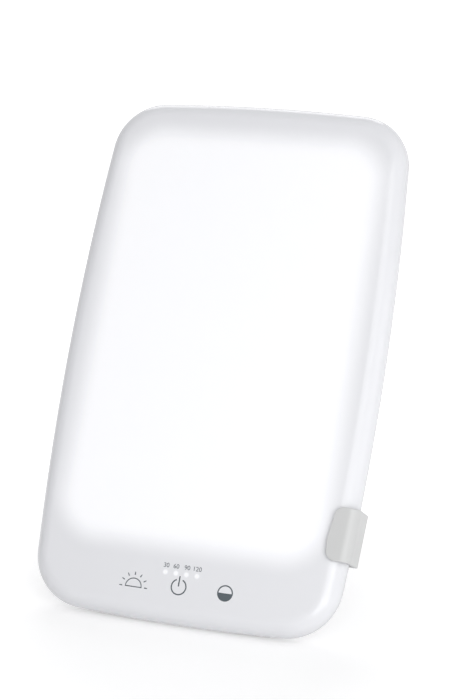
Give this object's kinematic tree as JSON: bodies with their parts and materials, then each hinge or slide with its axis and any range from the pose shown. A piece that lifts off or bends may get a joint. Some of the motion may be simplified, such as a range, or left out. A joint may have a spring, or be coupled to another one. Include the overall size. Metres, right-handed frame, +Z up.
{
  "type": "light therapy lamp",
  "caption": "Flat edge-lit light therapy panel with a seamless opal front, touch controls along its foot, and a clip-on stand whose folding leg leans it back.",
  "frame": {"origin": "the middle of the footprint box, on the surface that the lamp stands on", "axes": "+Z up, the lit face looks towards -Y and leans back towards +Y, +X to the right of someone who looks at the lit face"},
  "size_m": [0.215, 0.1884, 0.2998],
  "materials": {
    "opal_white": "gloss, translucent opal",
    "shell_white": "semi-gloss",
    "grey_plastic": "matte, fine grain",
    "rubber": "matte",
    "clear_acrylic": "clear, polished",
    "film_white": "matte film",
    "aluminium": "mill finish",
    "circuit_board": "solder mask",
    "led_yellow": "clear resin over phosphor",
    "steel": "zinc plated",
    "copper": "bare metal",
    "black_plastic": "moulded",
    "lead_insulation": "soft vinyl"
  },
  "bodies": {
    "housing": {"front_cover": "opal_white", "rear_cover": "shell_white", "diffuser_sheet": "film_white", "light_guide": "clear_acrylic", "reflector_sheet": "film_white", "light_frame": "shell_white", "heat_spreader": "aluminium", "led_strip_left": "circuit_board", "led_strip_right": "circuit_board", "control_board": "circuit_board", "control_chip": "black_plastic", "inductor": "copper", "capacitor_1": "black_plastic", "capacitor_2": "black_plastic", "timer_led_1": "led_yellow", "timer_led_2": "led_yellow", "timer_led_3": "led_yellow", "timer_led_4": "led_yellow", "timer_light_mask": "black_plastic", "touch_spring_1": "copper", "touch_spring_2": "copper", "touch_spring_3": "copper", "power_socket": "black_plastic", "lead_plug_left": "film_white", "lead_plug_right": "film_white", "led_lead_left": "lead_insulation", "led_lead_right": "lead_insulation", "board_screw_1": "steel", "board_screw_2": "steel", "board_screw_3": "steel", "board_screw_4": "steel", "cover_screw_1": "steel", "cover_screw_2": "steel", "cover_screw_3": "steel", "cover_screw_4": "steel", "cover_screw_5": "steel", "cover_screw_6": "steel", "left_foot": "rubber", "right_foot": "rubber"},
    "stand": {"stand_bracket": "grey_plastic", "stand_pad": "rubber", "hinge_bolt": "steel", "hinge_nut": "steel", "hinge_washer_left": "black_plastic", "hinge_washer_right": "black_plastic"},
    "leg": {"stand_leg": "grey_plastic", "leg_shoe": "rubber"}
  },
  "joints": [
    {"name": "stand_slide", "type": "slide", "parent": "housing", "child": "stand", "axis": [1, 0, 0], "range_m": [0, 0.13]},
    {"name": "leg_hinge", "type": "hinge", "parent": "stand", "child": "leg", "pos_m": [-0.00068, -0.03713, 0.05144], "axis": [1, 0, 0], "range_deg": [-16, 90]}
  ]
}
